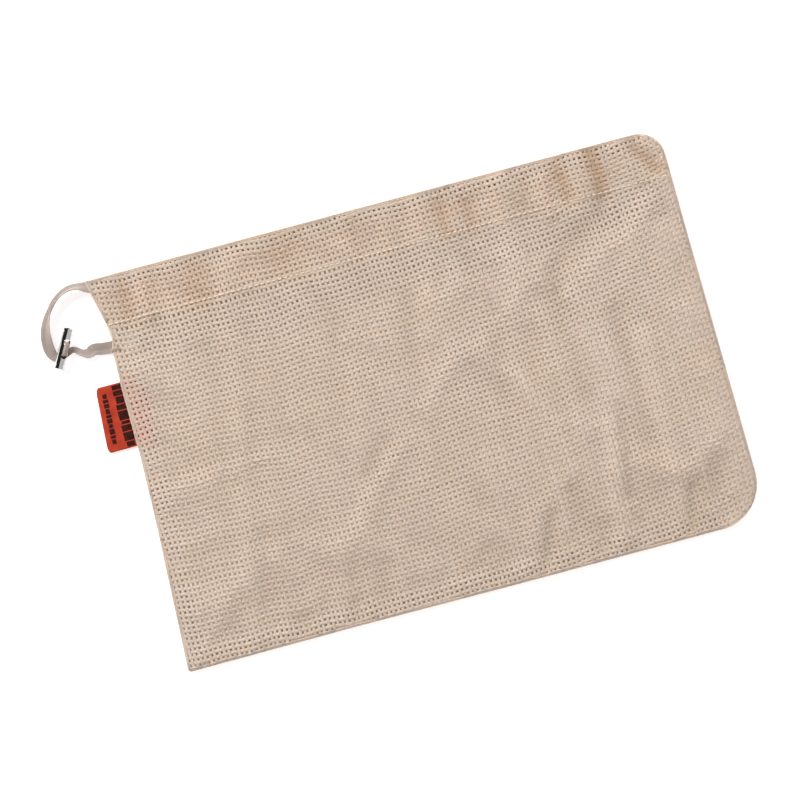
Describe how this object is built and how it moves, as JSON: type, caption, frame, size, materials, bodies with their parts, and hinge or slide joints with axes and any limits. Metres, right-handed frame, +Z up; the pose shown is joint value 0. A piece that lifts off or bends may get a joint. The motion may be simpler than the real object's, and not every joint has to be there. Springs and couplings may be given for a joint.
{
  "type": "mesh produce bag",
  "caption": "Flat cotton mesh drawstring bag for produce, with a tape drawstring in a turned hem, a sliding metal cord lock and a folded side label.",
  "frame": {"origin": "on the surface that the bag lies on, under the middle of the bag and its label", "axes": "+X along the mouth away from the tape's loop, +Y from the bottom seam to the mouth, +Z up"},
  "size_m": [0.3411, 0.208, 0.0088],
  "materials": {
    "cotton_mesh": "unbleached open leno-like cotton mesh, matt",
    "cotton_tape": "flat woven cotton tape, matt",
    "seam_thread": "spun sewing thread, matt",
    "label_ribbon": "folded woven ribbon, slight sheen",
    "label_print": "dark woven or printed marks",
    "lock_metal": "polished nickel plate"
  },
  "bodies": {
    "bag": {"front_panel": "cotton_mesh", "back_panel": "cotton_mesh", "front_hem_facing": "cotton_mesh", "back_hem_facing": "cotton_mesh", "side_seam_allowance": "cotton_mesh", "bottom_seam_allowance": "cotton_mesh", "front_hem_stitching": "seam_thread", "back_hem_stitching": "seam_thread", "side_seam_stitching": "seam_thread", "bottom_seam_stitching": "seam_thread", "side_seam_bar_tack": "seam_thread", "tag_sewn_end": "label_ribbon", "drawstring_fold_turn": "cotton_tape"},
    "drawstring": {"drawstring_front_run": "cotton_tape", "drawstring_back_run": "cotton_tape", "drawstring_lap_stitching": "seam_thread", "drawstring_loop": "cotton_tape", "drawstring_lock_strand": "cotton_tape"},
    "cord_lock": {"drawstring_bight": "cotton_tape", "cord_lock_barrel": "lock_metal"},
    "tag": {"tag_label": "label_ribbon", "tag_print": "label_print"}
  },
  "joints": [
    {"name": "drawstring_pull", "type": "slide", "parent": "bag", "child": "drawstring", "axis": [-1, 0, 0], "range_m": [0, 0.15]},
    {"name": "cord_lock_slide", "type": "slide", "parent": "drawstring", "child": "cord_lock", "axis": [0.9902, -0.1394, 0], "range_m": [0, 0.012]},
    {"name": "tag_flap", "type": "hinge", "parent": "bag", "child": "tag", "pos_m": [-0.1454, 0.0325, 0.0011], "axis": [0, 1, 0], "range_deg": [0, 135]}
  ]
}
